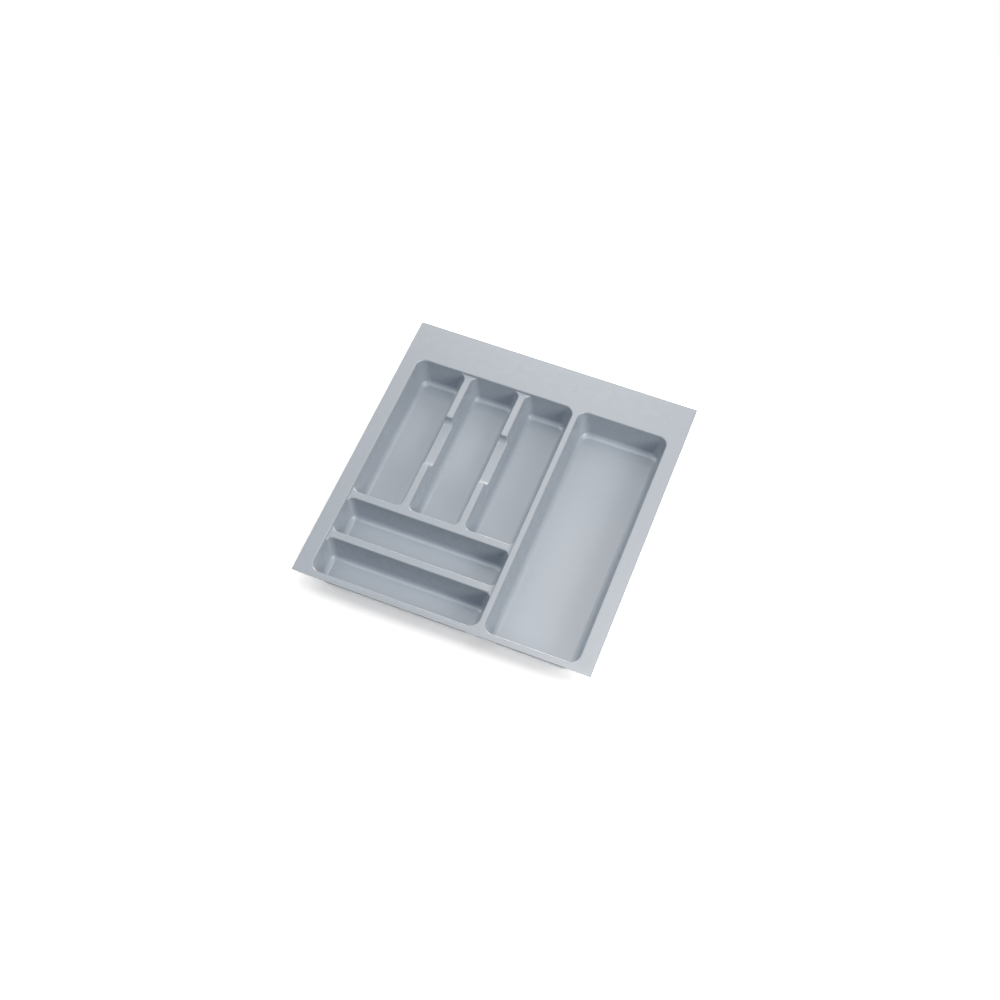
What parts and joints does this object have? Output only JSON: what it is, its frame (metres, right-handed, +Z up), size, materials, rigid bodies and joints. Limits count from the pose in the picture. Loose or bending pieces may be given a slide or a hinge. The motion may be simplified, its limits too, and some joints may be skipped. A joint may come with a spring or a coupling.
{
  "type": "cutlery tray",
  "caption": "Shallow formed-plastic drawer insert with long and cross compartments for cutlery, finger notches in the dividers and flat trim margins.",
  "frame": {"origin": "under the middle of the sheet's outline, on the plane that the pan floors stand on", "axes": "+Z up out of the pans, +Y towards the wide margin at the back, +X towards the wide utensil pan"},
  "size_m": [0.45, 0.47, 0.046],
  "materials": {
    "tray_plastic": "fine satin, light blue-grey"
  },
  "bodies": {
    "root": {"back_flange": "tray_plastic", "front_rim": "tray_plastic", "left_flange": "tray_plastic", "right_flange": "tray_plastic", "centre_divider": "tray_plastic", "knife_pan": "tray_plastic", "fork_pan": "tray_plastic", "spoon_pan": "tray_plastic", "upper_cross_pan": "tray_plastic", "lower_cross_pan": "tray_plastic", "utensil_pan": "tray_plastic", "knife_fork_divider": "tray_plastic", "fork_spoon_divider": "tray_plastic", "upper_cross_divider": "tray_plastic", "lower_cross_divider": "tray_plastic"}
  },
  "joints": []
}
